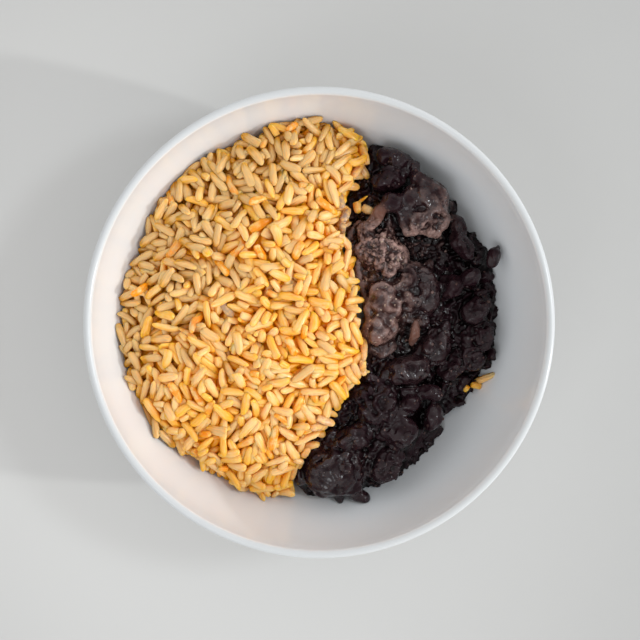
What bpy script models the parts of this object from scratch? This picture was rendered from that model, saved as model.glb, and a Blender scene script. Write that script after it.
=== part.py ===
"""Yellow rice and mashed black beans in a round white ceramic bowl.

Frame: +Z is up and the origin is on the bowl's axis, in the plane of its foot. The rice fills the -X side
of the bowl and the beans the +X side. Sizes below are in millimetres; the objects are in metres.
"""

import math

import bmesh
import bpy
from mathutils import Vector, noise

MM = 0.001

# The bowl: a rounded lip, a wall between two quarter ellipses, a flat floor and a turned foot ring.
RIM_RADIUS = 75.0
BOWL_HEIGHT = 55.0
LIP_RADIUS = 1.3
FLAT_RADIUS = 38.0
FLOOR_HEIGHT = 6.5
UNDERSIDE_HEIGHT = 3.2
FOOT_OUTER_RADIUS = 41.5
FOOT_INNER_RADIUS = 36.5
FOOT_CHAMFER = 0.8
TURN_STEPS = 60
WALL_STEPS = 10
LIP_STEPS = 3

# The food keeps this much clear of the bowl, and the beans of the rice.
GAP = 0.3

# The wall's ellipses share a centre at the height where the lip's round begins.
WALL_TOP = BOWL_HEIGHT - LIP_RADIUS
INNER_REACH = RIM_RADIUS - 2 * LIP_RADIUS - FLAT_RADIUS
OUTER_REACH = RIM_RADIUS - FLAT_RADIUS

# Each heap is a dome. Its stations give, at an angle about the heap's centre, the reach of its outline
# and the height of the dome's edge there. Where the reach passes the bowl's wall, the wall trims it.
# Humps are (x, y, radius, rise), from the bowl's axis; a negative rise is a hollow.
RICE = {
    "centre": (-24.0, 3.0),
    "crest": 42.0,
    "steepness": 2.6,
    "stations": (
        (0, 39, 34), (20, 38, 34), (34, 41, 33), (47, 46, 31), (54, 70, 29), (68, 70, 31), (78, 66, 33),
        (88, 58, 35), (104, 53.5, 35), (118, 53, 35), (132, 48, 35), (146, 43, 34), (160, 43, 35),
        (178, 43, 35), (200, 45, 34), (225, 51, 32), (246, 51.5, 29), (262, 56, 26), (277, 64, 22),
        (284, 62, 23), (291, 52, 28), (305, 45, 33), (332, 43, 34),
    ),
    "humps": (
        (-4, 24, 14, 2.0), (-38, 32, 13, 1.5), (-44, -12, 14, 1.5), (-12, -22, 12, 1.5), (-24, 4, 9, -1.5),
        (-24, 48, 10, 1.0), (8, 50, 8, 1.0), (-14, -50, 8, 1.5),
    ),
    "lump_size": 6.0,
    "lump_rise": 1.0,
    "seed": 3.0,
}
BEANS = {
    "centre": (28.0, -6.0),
    "crest": 30.0,
    "steepness": 2.2,
    "stations": (
        (0, 36, 18), (30, 42, 19), (46, 49, 20), (62, 47, 19), (82, 59, 21), (98, 68, 26), (112, 60, 26),
        (140, 38, 26), (180, 24, 28), (215, 36, 26), (232, 61, 22), (246, 65, 17), (262, 53, 17),
        (280, 43, 16), (300, 31, 16), (325, 32, 17),
    ),
    "humps": (
        (25, 55, 5, 5.0), (25, 40, 6, 4.5), (38, 37, 7, 6.0), (20, 24, 9, 5.0), (22, 6, 9, 5.5),
        (36, 11, 6, 4.5), (57, 22, 5, 4.0), (53, -4, 7, 3.5), (20, -26, 9, 4.0), (28, -38, 7, 4.5),
        (5, -50, 9, 7.0), (23, -49, 6, 4.0), (34, 24, 5, -4.0), (46, 8, 5, -3.0), (38, -14, 6, -2.0),
    ),
    "lump_size": 4.5,
    "lump_rise": 1.8,
    "seed": 11.0,
}
HEAP_SEGMENTS = 58
HEAP_RINGS = 34
HEAP_BOTTOM = -30.0
HEAP_SIDE_POWER = 6


def material(name, colour, roughness):
    mat = bpy.data.materials.new(name)
    mat.use_nodes = True
    shader = mat.node_tree.nodes["Principled BSDF"]
    shader.inputs["Base Color"].default_value = (*colour, 1.0)
    shader.inputs["Roughness"].default_value = roughness
    shader.inputs["Metallic"].default_value = 0.0
    return mat


def arc(centre, reach, first, last, steps):
    """Points on an ellipse's arc in the (radius, height) plane. Angles are in degrees."""
    points = []
    for step in range(steps + 1):
        angle = math.radians(first + (last - first) * step / steps)
        points.append((centre[0] + reach[0] * math.cos(angle), centre[1] + reach[1] * math.sin(angle)))
    return points


def bowl_profile():
    """From the middle of the floor up the inside, over the lip, down the outside and under the foot."""
    wall_centre = (FLAT_RADIUS, WALL_TOP)
    inner_drop = WALL_TOP - FLOOR_HEIGHT
    outer_drop = WALL_TOP - UNDERSIDE_HEIGHT
    foot_angle = math.degrees(math.acos((FOOT_OUTER_RADIUS + FOOT_CHAMFER - FLAT_RADIUS) / OUTER_REACH))
    inside = arc(wall_centre, (INNER_REACH, inner_drop), -90, 0, WALL_STEPS)
    lip_centre = (RIM_RADIUS - LIP_RADIUS, WALL_TOP)
    lip = arc(lip_centre, (LIP_RADIUS, LIP_RADIUS), 180, 0, 2 * LIP_STEPS)
    outside = arc(wall_centre, (OUTER_REACH, outer_drop), 0, -foot_angle, WALL_STEPS)
    foot = [
        (FOOT_OUTER_RADIUS, FOOT_CHAMFER),
        (FOOT_OUTER_RADIUS - FOOT_CHAMFER, 0.0),
        (FOOT_INNER_RADIUS + FOOT_CHAMFER, 0.0),
        (FOOT_INNER_RADIUS, FOOT_CHAMFER),
        (FOOT_INNER_RADIUS - FOOT_CHAMFER, UNDERSIDE_HEIGHT),
        (0.0, UNDERSIDE_HEIGHT),
    ]
    return [(0.0, FLOOR_HEIGHT)] + inside + lip[1:] + outside[1:] + foot


def cavity_profile():
    """The room inside the bowl, less the gap, from the axis above the rim down the wall to the axis."""
    reach = (INNER_REACH - GAP, WALL_TOP - FLOOR_HEIGHT - GAP)
    wall = arc((FLAT_RADIUS, WALL_TOP), reach, 0, -90, WALL_STEPS)
    above = BOWL_HEIGHT + 10.0
    return [(0.0, above), (wall[0][0], above)] + wall + [(0.0, wall[-1][1])]


def turned(name, profile, collection):
    """A solid of revolution about +Z, by a Screw modifier on its profile."""
    mesh = bpy.data.meshes.new(name)
    points = [(radius * MM, 0.0, height * MM) for radius, height in profile]
    edges = [(index, index + 1) for index in range(len(points) - 1)]
    mesh.from_pydata(points, edges, [])
    obj = bpy.data.objects.new(name, mesh)
    collection.objects.link(obj)
    screw = obj.modifiers.new("Turn", "SCREW")
    screw.axis = "Z"
    screw.steps = TURN_STEPS
    screw.render_steps = TURN_STEPS
    screw.use_merge_vertices = True
    screw.merge_threshold = 0.00001
    screw.use_smooth_shade = True
    return obj


def station_at(stations, degrees):
    """The outline's reach and edge height at this angle, eased from one station to the next."""
    later = [station for station in stations if station[0] > degrees]
    after = later[0] if later else (stations[0][0] + 360, *stations[0][1:])
    before = stations[len(stations) - len(later) - 1]
    share = (degrees - before[0]) / (after[0] - before[0])
    share = share * share * (3 - 2 * share)
    return tuple(low + (high - low) * share for low, high in zip(before[1:], after[1:]))


def top_height(heap, x, y, fraction, edge):
    """The height of the heap's top at (x, y), where fraction runs from 0 at its centre to 1 at its edge."""
    height = edge + (heap["crest"] - edge) * (1 - fraction ** heap["steepness"])
    for hump_x, hump_y, radius, rise in heap["humps"]:
        height += rise * math.exp(-((x - hump_x) ** 2 + (y - hump_y) ** 2) / (2 * radius * radius))
    lump = noise.noise(Vector((x / heap["lump_size"], y / heap["lump_size"], heap["seed"])))
    return height + heap["lump_rise"] * lump


def shape_heap(bm, heap, grow):
    """Turns a unit sphere into the heap: its upper half becomes the top, its lower half the deep sides."""
    centre_x, centre_y = heap["centre"]
    for vert in bm.verts:
        tilt = math.acos(max(-1.0, min(1.0, vert.co.z))) / (math.pi / 2)
        angle = math.atan2(vert.co.y, vert.co.x)
        reach, edge = station_at(heap["stations"], math.degrees(angle) % 360)
        if tilt <= 1.0:
            depth = 0.0
            fraction = tilt
            top_fraction = tilt
        else:
            depth = tilt - 1.0
            fraction = 1 - depth ** HEAP_SIDE_POWER
            top_fraction = 1.0
        top_x = centre_x + reach * top_fraction * math.cos(angle)
        top_y = centre_y + reach * top_fraction * math.sin(angle)
        top = top_height(heap, top_x, top_y, top_fraction, edge)
        x = centre_x + reach * fraction * math.cos(angle)
        y = centre_y + reach * fraction * math.sin(angle)
        z = top + (HEAP_BOTTOM - top) * depth
        vert.co = Vector((x, y, z)) * MM
    bm.normal_update()
    if grow:
        outward = [(vert, vert.normal.copy()) for vert in bm.verts]
        for vert, normal in outward:
            vert.co += normal * grow * MM


def heap_object(name, heap, collection, grow=0.0):
    bm = bmesh.new()
    bmesh.ops.create_uvsphere(bm, u_segments=HEAP_SEGMENTS, v_segments=HEAP_RINGS, radius=1.0)
    shape_heap(bm, heap, grow)
    mesh = bpy.data.meshes.new(name)
    bm.to_mesh(mesh)
    bm.free()
    mesh.shade_smooth()
    obj = bpy.data.objects.new(name, mesh)
    collection.objects.link(obj)
    return obj


def add_boolean(obj, cutter, operation):
    cut = obj.modifiers.new(cutter.name, "BOOLEAN")
    cut.operation = operation
    cut.solver = "EXACT"
    cut.object = cutter


def main():
    for obj in list(bpy.data.objects):
        bpy.data.objects.remove(obj, do_unlink=True)
    parts = bpy.data.collections.new("rice_and_beans_bowl")
    cutters = bpy.data.collections.new("cutters")
    for collection in (parts, cutters):
        bpy.context.scene.collection.children.link(collection)

    bowl = turned("bowl", bowl_profile(), parts)
    bowl.data.materials.append(material("white_glaze", (0.80, 0.80, 0.80), 0.18))

    cavity = turned("cavity", cavity_profile(), cutters)
    rice = heap_object("rice", RICE, parts)
    rice.data.materials.append(material("yellow_rice", (0.72, 0.47, 0.20), 0.45))
    add_boolean(rice, cavity, "INTERSECT")

    rice_room = heap_object("rice_room", RICE, cutters, grow=GAP)
    beans = heap_object("beans", BEANS, parts)
    beans.data.materials.append(material("black_bean_mash", (0.035, 0.022, 0.026), 0.35))
    add_boolean(beans, cavity, "INTERSECT")
    add_boolean(beans, rice_room, "DIFFERENCE")

    for cutter in cutters.objects:
        cutter.hide_render = True
        cutter.display_type = "WIRE"


main()
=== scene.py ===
"""The finished look of a bowl of yellow rice and mashed black beans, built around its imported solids.

+Z is up, the rice fills the -X side and the beans the +X side. Sizes are in millimetres up to the point
where a mesh is made, and MM turns them into metres.
"""

import math

import bmesh
import bpy
import numpy as np
from mathutils import Matrix, Vector, noise
from mathutils.bvhtree import BVHTree


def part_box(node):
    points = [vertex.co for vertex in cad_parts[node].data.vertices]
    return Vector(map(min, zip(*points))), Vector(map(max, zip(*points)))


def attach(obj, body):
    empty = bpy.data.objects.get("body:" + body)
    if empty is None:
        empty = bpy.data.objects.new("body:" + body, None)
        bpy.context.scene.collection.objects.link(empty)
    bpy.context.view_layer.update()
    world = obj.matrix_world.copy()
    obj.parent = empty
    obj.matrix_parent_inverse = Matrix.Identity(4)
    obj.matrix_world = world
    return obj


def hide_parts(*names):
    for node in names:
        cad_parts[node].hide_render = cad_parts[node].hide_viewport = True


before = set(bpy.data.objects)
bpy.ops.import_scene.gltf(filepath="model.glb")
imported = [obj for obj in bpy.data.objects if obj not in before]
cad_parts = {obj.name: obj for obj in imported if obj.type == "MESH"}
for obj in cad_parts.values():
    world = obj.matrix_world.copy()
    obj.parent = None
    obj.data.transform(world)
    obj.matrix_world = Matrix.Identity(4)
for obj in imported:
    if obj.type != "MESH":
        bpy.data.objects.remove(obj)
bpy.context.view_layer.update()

MM = 0.001
BODY = "root"
SEED = 20
RANDOM = np.random.default_rng(SEED)
noise.seed_set(SEED)

# --------------------------------------
# Sizes of the bowl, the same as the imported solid's
# --------------------------------------
RIM_RADIUS = 75.0
BOWL_HEIGHT = 55.0
LIP_RADIUS = 1.3
FLAT_RADIUS = 38.0
FLOOR_HEIGHT = 6.5
UNDERSIDE_HEIGHT = 3.2
FOOT_OUTER_RADIUS = 41.5
FOOT_INNER_RADIUS = 36.5
FOOT_CHAMFER = 0.8
TURN_STEPS = 192
WALL_STEPS = 44
LIP_STEPS = 8
WALL_TOP = BOWL_HEIGHT - LIP_RADIUS
INNER_REACH = RIM_RADIUS - 2 * LIP_RADIUS - FLAT_RADIUS
OUTER_REACH = RIM_RADIUS - FLAT_RADIUS

# --------------------------------------
# Shader maths
# --------------------------------------


class Value:
    """A number or colour on its way to a shader. Arithmetic on numbers adds Math nodes."""

    def __init__(self, nodes, socket):
        self.nodes = nodes
        self.socket = socket

    def maths(self, operation, first, second):
        return self.nodes.node("ShaderNodeMath", {"operation": operation}, {0: first, 1: second})

    def __add__(self, other):
        return self.maths("ADD", self, other)

    def __radd__(self, other):
        return self.maths("ADD", other, self)

    def __sub__(self, other):
        return self.maths("SUBTRACT", self, other)

    def __rsub__(self, other):
        return self.maths("SUBTRACT", other, self)

    def __mul__(self, other):
        return self.maths("MULTIPLY", self, other)

    def __rmul__(self, other):
        return self.maths("MULTIPLY", other, self)

    def between(self, low, high):
        """0 below low, 1 above high, eased between them."""
        settings = {"interpolation_type": "SMOOTHSTEP"}
        return self.nodes.node("ShaderNodeMapRange", settings, {0: self, 1: low, 2: high, 3: 0.0, 4: 1.0})


class Nodes:
    """A tree of shader nodes, and the ways in which nodes are made and fed."""

    def __init__(self, tree):
        self.tree = tree

    def node(self, kind, settings, inputs, output=0):
        made = self.tree.nodes.new(kind)
        for name, setting in settings.items():
            setattr(made, name, setting)
        for key, given in inputs.items():
            self.feed(made.inputs[key], given)
        return Value(self, made.outputs[output])

    def feed(self, socket, given):
        if isinstance(given, Value):
            self.tree.links.new(given.socket, socket)
        elif isinstance(given, tuple) and len(given) == 3 and len(socket.default_value) == 4:
            socket.default_value = (*given, 1.0)
        else:
            socket.default_value = given


class Look(Nodes):
    """A material with one Principled shader."""

    def __init__(self, name):
        self.material = bpy.data.materials.new(name)
        self.material.use_nodes = True
        super().__init__(self.material.node_tree)
        self.shader = self.tree.nodes["Principled BSDF"]
        self.place = self.node("ShaderNodeTexCoord", {}, {}, "Object")

    def finish(self, **inputs):
        """Feeds the shader's own sockets; a name's underscores stand for spaces."""
        for name, given in inputs.items():
            self.feed(self.shader.inputs[name.replace("_", " ")], given)
        return self.material

    def noise(self, size, detail=2.0, roughness=0.5, place=None):
        """Soft noise, 0 to 1, whose patches are about size millimetres across."""
        inputs = {
            "Vector": place or self.place,
            "Scale": 1.0 / (size * MM),
            "Detail": detail,
            "Roughness": roughness,
        }
        return self.node("ShaderNodeTexNoise", {}, inputs, "Fac")

    def stretched(self, place, scale):
        return self.node("ShaderNodeVectorMath", {"operation": "MULTIPLY"}, {0: place, 1: scale})

    def cells(self, size):
        inputs = {"Vector": self.place, "Scale": 1.0 / (size * MM)}
        return self.node("ShaderNodeTexVoronoi", {}, inputs, "Distance")

    def attribute(self, name, output="Fac"):
        return self.node("ShaderNodeAttribute", {"attribute_name": name}, {}, output)

    def mix(self, first, second, share):
        settings = {"data_type": "RGBA", "blend_type": "MIX", "clamp_factor": True}
        return self.node("ShaderNodeMix", settings, {0: share, 6: first, 7: second}, 2)

    def bump(self, height, distance):
        return self.node("ShaderNodeBump", {}, {"Height": height, "Distance": distance * MM})


# --------------------------------------
# Materials
# --------------------------------------
GLAZE_THIN = (0.735, 0.760, 0.780)
GLAZE_FULL = (0.762, 0.786, 0.806)
GLAZE_SPECK = (0.690, 0.700, 0.705)
# Painted shade: the lip is darker than the rest of the glaze.
GLAZE_LIP_SHADE = (0.520, 0.533, 0.540)
# Painted shade: the clear grains' colour is darkened.
RICE_CLEAR_SHADED = (0.700, 0.455, 0.195)
# Painted shade on the clear grains' lower flanks.
RICE_CLEAR_FLANK_SHADE = (0.470, 0.240, 0.036)
# Painted shade in the gaps, for clear grains.
RICE_CLEAR_GAP_SHADE = (0.480, 0.180, 0.006)
RICE_PALE = (0.985, 0.602, 0.290)
RICE_DEEP = (0.990, 0.445, 0.035)
# Painted shade in the gaps between grains.
RICE_GAP_SHADE = (0.995, 0.360, 0.002)
RICE_STAIN = (0.950, 0.300, 0.004)
# Painted shade: the deep orange seen in the gaps, for the rice core.
PACKED_SHADE_PALE = (0.990, 0.460, 0.008)
PACKED_SHADE_DEEP = (0.985, 0.360, 0.003)
BEAN_COAT = (0.33, 0.23, 0.19)
SKIN_DEEP = (0.0072, 0.0024, 0.0036)
SKIN_PALE = (0.024, 0.0092, 0.0126)
MASH_DEEP = (0.042, 0.0175, 0.0155)
MASH_PALE = (0.400, 0.250, 0.215)
RED_BROWN = (0.20, 0.085, 0.055)
# Painted shade in the mash's hollows.
MASH_HOLLOW_SHADE = (0.0030, 0.0011, 0.0014)
CREAM = (0.46, 0.34, 0.25)
FLOOR_PALE = (0.560, 0.556, 0.544)
FLOOR_SHADED = (0.406, 0.403, 0.394)
FLOOR_FAR_SHADE = (0.350, 0.350, 0.345)
FLOOR_CLOUD = (0.540, 0.535, 0.525)
# Painted shade: the floor darkens along this way, and this far from the bowl, in metres.
FLOOR_WAY = (1.5, 0.7, 0.0)
FLOOR_SPAN = (-0.24, 0.24)
FLOOR_FALL = (0.09, 0.22)


def glaze_look():
    """White glaze: faint pooling in its tone, painted shade darkening the upward-facing lip, and a barely
    uneven surface.
    """
    look = Look("white_glaze")
    cloud = look.noise(26.0, detail=3.0)
    speck = look.noise(1.1, detail=2.0).between(0.70, 0.80)
    tone = look.mix(GLAZE_THIN, GLAZE_FULL, cloud)
    tone = look.mix(tone, GLAZE_SPECK, speck * 0.5)
    height = look.node("ShaderNodeSeparateXYZ", {}, {0: look.place}, "Z")
    # Painted shade: the rounded lip is darkened so its up-facing top is not lit whiter than the wall.
    tone = look.mix(tone, GLAZE_LIP_SHADE, height.between(WALL_TOP * MM, (BOWL_HEIGHT - 0.2) * MM))
    orange_peel = look.noise(5.0, detail=1.0)
    return look.finish(
        Base_Color=tone,
        Roughness=0.16 + 0.10 * look.noise(14.0),
        Normal=look.bump(orange_peel, 0.02),
        IOR=1.5,
        Coat_Weight=0.0,
    )


def grain_look():
    """Cooked rice: each grain has its own tone and streaks along it. Painted shade darkens each grain's
    lower flank, darkens clear grains as a whole where they crowd towards -X and +Y, and turns grains lying
    deep among the others a darker, deeper orange.
    """
    look = Look("yellow_rice")
    own = look.attribute("own", "Vector")
    tone = look.attribute("tone")
    shaded_flank = look.attribute("shaded_flank")
    tip = look.attribute("along").between(0.60, 1.0)
    streak = look.noise(0.8, detail=2.0, place=look.stretched(own, (0.14, 1.1, 1.1))).between(0.32, 0.68)
    patch = look.noise(2.4, detail=2.0)
    # Grains of low tone are clear and darker; more of them lie towards -X and +Y as painted shade.
    yellow = (tone + 0.08 * streak).between(0.12, 0.30)
    # Painted shade: clear grains darken towards their lower flanks.
    clear = look.mix(RICE_CLEAR_SHADED, RICE_CLEAR_FLANK_SHADE, (shaded_flank + 0.25 * patch).between(0.25, 0.85))
    # Deeper orange from tone, streaks, patches and tips, and from the lower flank as painted shade.
    orange_and_flank_shade = tone * 0.46 + 0.26 * streak + 0.24 * patch + 0.14 * tip + 0.22 * shaded_flank
    colour = look.mix(look.mix(clear, RICE_PALE, yellow), RICE_DEEP, orange_and_flank_shade.between(0.16, 0.94))
    # Painted shade: grains lying deep among their neighbours are darkened to a deeper orange.
    gap_shade = look.mix(RICE_CLEAR_GAP_SHADE, RICE_GAP_SHADE, yellow)
    colour = look.mix(colour, gap_shade, look.attribute("sunk").between(-0.05, 0.60))
    stained = look.attribute("stain") * look.noise(2.2, detail=2.0).between(0.36, 0.60)
    colour = look.mix(colour, RICE_STAIN, stained)
    coated = look.attribute("coat") * look.noise(1.5, detail=3.0).between(0.30, 0.60)
    colour = look.mix(colour, BEAN_COAT, coated)
    relief = streak * 0.7 + 0.5 * look.noise(0.8, detail=2.0)
    return look.finish(
        Base_Color=colour,
        Roughness=0.34 + 0.26 * look.noise(1.1),
        Normal=look.bump(relief, 0.20),
        Specular_IOR_Level=0.12,
        Coat_Weight=(1.0 - shaded_flank).between(0.35, 0.85) * 0.55,
        Coat_Roughness=0.22,
        Subsurface_Weight=0.8,
        Subsurface_Radius=(1.0, 0.88, 0.70),
        Subsurface_Scale=2.0 * MM,
        IOR=1.42,
    )


def core_look():
    """The rice below the top layers, in the relief of packed grains; its deep orange is painted shade, the
    colour of the gaps between the grains above it.
    """
    look = Look("packed_rice")
    cells = look.cells(2.6)
    colour = look.mix(PACKED_SHADE_PALE, PACKED_SHADE_DEEP, cells)
    return look.finish(
        Base_Color=colour,
        Roughness=0.45 + 0.2 * look.noise(2.0),
        Normal=look.bump(cells, 0.9),
    )


def mash_look():
    """Mashed black beans: near black skins, mauve-tan mash where crumbly or smooth, moist all over, with
    painted shade in hollows and painted light on raised parts.
    """
    look = Look("black_bean_mash")
    paste = look.attribute("paste")
    crumbly = look.attribute("crumbly")
    sheen = look.attribute("sheen")
    hollow = look.attribute("hollow")
    broad = look.noise(6.5, detail=2.0)
    fine = look.noise(1.5, detail=3.0, roughness=0.6)
    # Painted light: parts standing above the mean of the tops around them are lightened.
    raised = (0.0 - hollow).between(-0.5, 0.9)
    dark = look.mix(SKIN_DEEP, SKIN_PALE, broad * 0.7 + 0.5 * raised * fine)
    bits = fine.between(0.38, 0.72) * (0.60 - 0.35 * paste)
    tan = look.mix(MASH_DEEP, MASH_PALE, raised * (0.74 - 0.36 * paste) + bits + 0.18 * paste - 0.32)
    share = (paste + crumbly * 1.05 + 0.14 * sheen) * (0.66 + 0.48 * broad.between(0.28, 0.70))
    colour = look.mix(dark, tan, share.between(0.02, 0.98))
    colour = look.mix(colour, RED_BROWN, look.attribute("brown").between(0.15, 0.9) * (0.45 + 0.55 * fine))
    fleck = look.noise(1.25, detail=1.0).between(0.665, 0.72)
    colour = look.mix(colour, CREAM, fleck * (paste + crumbly).between(0.25, 1.0) * 0.75)
    # Painted shade: hollows, and crumbly mash more so, are darkened towards near black; paste a little less.
    deep = (hollow + crumbly * 0.45 - 0.20 * paste).between(0.10, 1.55)
    colour = look.mix(colour, MASH_HOLLOW_SHADE, deep * 0.95)
    relief = look.noise(1.6, detail=3.0, roughness=0.55)
    relief = relief + look.noise(0.7, detail=2.0) * (0.50 - 0.30 * sheen)
    wet = look.noise(3.2, detail=2.0).between(0.34, 0.60)
    return look.finish(
        Base_Color=colour,
        Roughness=0.37 - 0.10 * sheen - 0.10 * wet - 0.05 * paste,
        Normal=look.bump(relief * (1.0 - 0.6 * sheen), 0.21),
        Specular_IOR_Level=0.13,
        IOR=1.42,
        Coat_Weight=wet * (0.30 + 0.80 * sheen + 0.20 * paste),
        Coat_Roughness=0.07,
    )


def floor_look():
    """Pale paper, faintly clouded, with painted shade darkening it towards +X and +Y and away from the bowl.
    """
    look = Look("pale_floor")
    ways = {0: look.place, 1: FLOOR_WAY}
    across = look.node("ShaderNodeVectorMath", {"operation": "DOT_PRODUCT"}, ways, "Value")
    away = look.node("ShaderNodeVectorMath", {"operation": "LENGTH"}, {0: look.place}, "Value")
    colour = look.mix(FLOOR_PALE, FLOOR_SHADED, across.between(*FLOOR_SPAN))
    colour = look.mix(colour, FLOOR_FAR_SHADE, away.between(*FLOOR_FALL) * 0.60)
    colour = look.mix(colour, FLOOR_CLOUD, look.noise(60.0, detail=3.0) * 0.12)
    return look.finish(Base_Color=colour, Roughness=0.55 + 0.1 * look.noise(9.0))


# --------------------------------------
# Small tools for meshes
# --------------------------------------
MERGE_DISTANCE = 0.002


def new_object(name, data):
    made = bpy.data.objects.new(name, data)
    bpy.context.scene.collection.objects.link(made)
    return made


def show(name, mesh, material):
    """Puts a finished mesh in the scene as a piece of the object."""
    mesh.materials.clear()
    mesh.materials.append(material)
    mesh.shade_smooth()
    piece = new_object(name, mesh)
    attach(piece, BODY)
    return piece


def mesh_from(bm, name):
    """A mesh made from bm, which is freed."""
    mesh = bpy.data.meshes.new(name)
    bm.to_mesh(mesh)
    bm.free()
    return mesh


def mesh_arrays(mesh):
    """(points in millimetres, faces) of a mesh."""
    points = np.empty(len(mesh.vertices) * 3)
    mesh.vertices.foreach_get("co", points)
    faces = [tuple(polygon.vertices) for polygon in mesh.polygons]
    return points.reshape(-1, 3) / MM, faces


def add_attribute(mesh, name, values):
    """Gives the mesh one number, or one vector in metres, at each of its points."""
    flat = np.ascontiguousarray(values, dtype=np.float32)
    if flat.ndim == 1:
        mesh.attributes.new(name, "FLOAT", "POINT").data.foreach_set("value", flat)
    else:
        mesh.attributes.new(name, "FLOAT_VECTOR", "POINT").data.foreach_set("vector", flat.ravel())


def joined_copies(name, copies, facts):
    """One mesh from (points, faces) copies. facts gives each attribute's name and one array per copy."""
    points = []
    faces = []
    offset = 0
    for own_points, own_faces in copies:
        points.append(own_points)
        faces.extend(tuple(index + offset for index in face) for face in own_faces)
        offset += len(own_points)
    mesh = bpy.data.meshes.new(name)
    mesh.from_pydata((np.concatenate(points) * MM).tolist(), [], faces)
    for fact, values in facts.items():
        add_attribute(mesh, fact, np.concatenate(values))
    return mesh


def template_from(bm):
    """(unit points, faces) of a finished template."""
    points, faces = mesh_arrays(mesh_from(bm, "template"))
    return points * MM, faces


def merged_copy(node, name):
    """A CAD node's mesh as one closed surface, ready to be worked on."""
    bm = bmesh.new()
    bm.from_mesh(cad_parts[node].data)
    bmesh.ops.remove_doubles(bm, verts=bm.verts, dist=MERGE_DISTANCE * MM)
    return mesh_from(bm, name)


def shrunk_copy(node, name, low, high, scale, sink):
    """A CAD node's closed surface shrunk about the middle of its box's underside, then let down by sink."""
    bm = bmesh.new()
    bm.from_mesh(merged_copy(node, name))
    middle = Vector(((low[0] + high[0]) / 2, (low[1] + high[1]) / 2, low[2]))
    bmesh.ops.translate(bm, verts=bm.verts, vec=-middle)
    bmesh.ops.scale(bm, verts=bm.verts, vec=scale)
    bmesh.ops.translate(bm, verts=bm.verts, vec=middle - Vector((0, 0, sink * MM)))
    return bm


def lying_sphere(segments, rings):
    """A unit sphere whose poles lie on the X axis."""
    bm = bmesh.new()
    bmesh.ops.create_uvsphere(bm, u_segments=segments, v_segments=rings, radius=1.0)
    bmesh.ops.rotate(bm, verts=bm.verts, cent=(0, 0, 0), matrix=Matrix.Rotation(math.pi / 2, 3, "Y"))
    return bm


def placed(points, sizes, spot, roll):
    """A template's points sized, turned and moved to a resting place."""
    x, y, height, heading, pitch = spot
    turn = Matrix.Rotation(heading, 3, "Z") @ Matrix.Rotation(-pitch, 3, "Y") @ Matrix.Rotation(roll, 3, "X")
    return (points * np.array(sizes) / 2) @ np.array(turn).T + (x, y, height)


# --------------------------------------
# Height maps: square grids of heights, in millimetres, over the bowl's mouth
# --------------------------------------
CELL = 0.3
HALF_MAP = 75.0
MAP_CELLS = int(2 * HALF_MAP / CELL)
CENTRES = (np.arange(MAP_CELLS) + 0.5) * CELL - HALF_MAP
MAP_X, MAP_Y = np.meshgrid(CENTRES, CENTRES, indexing="ij")
NOTHING = -100.0
RAY_START = 0.1
WALL_CLEARANCE = 0.3


def height_map(mesh):
    """The mesh's topmost height over each cell, or NOTHING."""
    bm = bmesh.new()
    bm.from_mesh(mesh)
    tree = BVHTree.FromBMesh(bm)
    bm.free()
    heights = np.full((MAP_CELLS, MAP_CELLS), NOTHING)
    down = Vector((0, 0, -1))
    for row, x in enumerate(CENTRES):
        for column, y in enumerate(CENTRES):
            hit = tree.ray_cast(Vector((x * MM, y * MM, RAY_START)), down)[0]
            if hit is not None:
                heights[row, column] = hit.z / MM
    return heights


def wall_map():
    """The height of the bowl's inner surface over each cell."""
    radius = np.hypot(MAP_X, MAP_Y)
    share = np.clip((radius - FLAT_RADIUS) / INNER_REACH, 0, 1)
    return WALL_TOP - (WALL_TOP - FLOOR_HEIGHT) * np.sqrt(1 - share * share)


def cell_at(x, y):
    """The row and column of the cell over a place."""
    return int((x + HALF_MAP) / CELL), int((y + HALF_MAP) / CELL)


def blurred(mask, size):
    """A map's mean over squares of this size."""
    half = int(size / 2 / CELL)
    total = np.cumsum(np.cumsum(np.pad(mask.astype(float), half + 1), axis=0), axis=1)
    side = 2 * half + 1
    sums = total[side:, side:] - total[:-side, side:] - total[side:, :-side] + total[:-side, :-side]
    return sums[:MAP_CELLS, :MAP_CELLS] / side ** 2


def sunk(points, mean_top):
    """How many millimetres each point lies below the mean of the tops around it, the depth by which shade is
    painted in gaps and hollows.
    """
    rows = np.clip(((points[:, 0] + HALF_MAP) / CELL).astype(int), 0, MAP_CELLS - 1)
    columns = np.clip(((points[:, 1] + HALF_MAP) / CELL).astype(int), 0, MAP_CELLS - 1)
    return mean_top[rows, columns] - points[:, 2]


def noise_map(size, seed):
    """Soft noise, about -1 to 1, over every third cell, spread back over the whole map."""
    coarse = np.array([
        [noise.noise(Vector((x / size, y / size, seed))) for y in CENTRES[1::3]] for x in CENTRES[1::3]
    ])
    return np.kron(coarse, np.ones((3, 3)))[:MAP_CELLS, :MAP_CELLS]


def inside_wall(points):
    """The points, those beyond the bowl's wall drawn in until they lie just inside it."""
    drop = np.clip((WALL_TOP - points[:, 2]) / (WALL_TOP - FLOOR_HEIGHT), 0, 1)
    room = FLAT_RADIUS + INNER_REACH * np.sqrt(1 - drop * drop) - WALL_CLEARANCE
    reach = np.maximum(np.hypot(points[:, 0], points[:, 1]), 1.0)
    held = points.copy()
    held[:, :2] *= np.minimum(1.0, room / reach)[:, None]
    return held


def hold_inside_wall(bm):
    """Draws a mesh's points in from the bowl's wall, as inside_wall does."""
    held = inside_wall(np.array([vert.co[:] for vert in bm.verts]) / MM)
    for vert, place in zip(bm.verts, held):
        vert.co = Vector(place) * MM


# --------------------------------------
# The bowl
# --------------------------------------


def arc(centre, reach, first, last, steps):
    """Points on an ellipse's arc in the (radius, height) plane. Angles are in degrees."""
    points = []
    for step in range(steps + 1):
        angle = math.radians(first + (last - first) * step / steps)
        points.append((centre[0] + reach[0] * math.cos(angle), centre[1] + reach[1] * math.sin(angle)))
    return points


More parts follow.
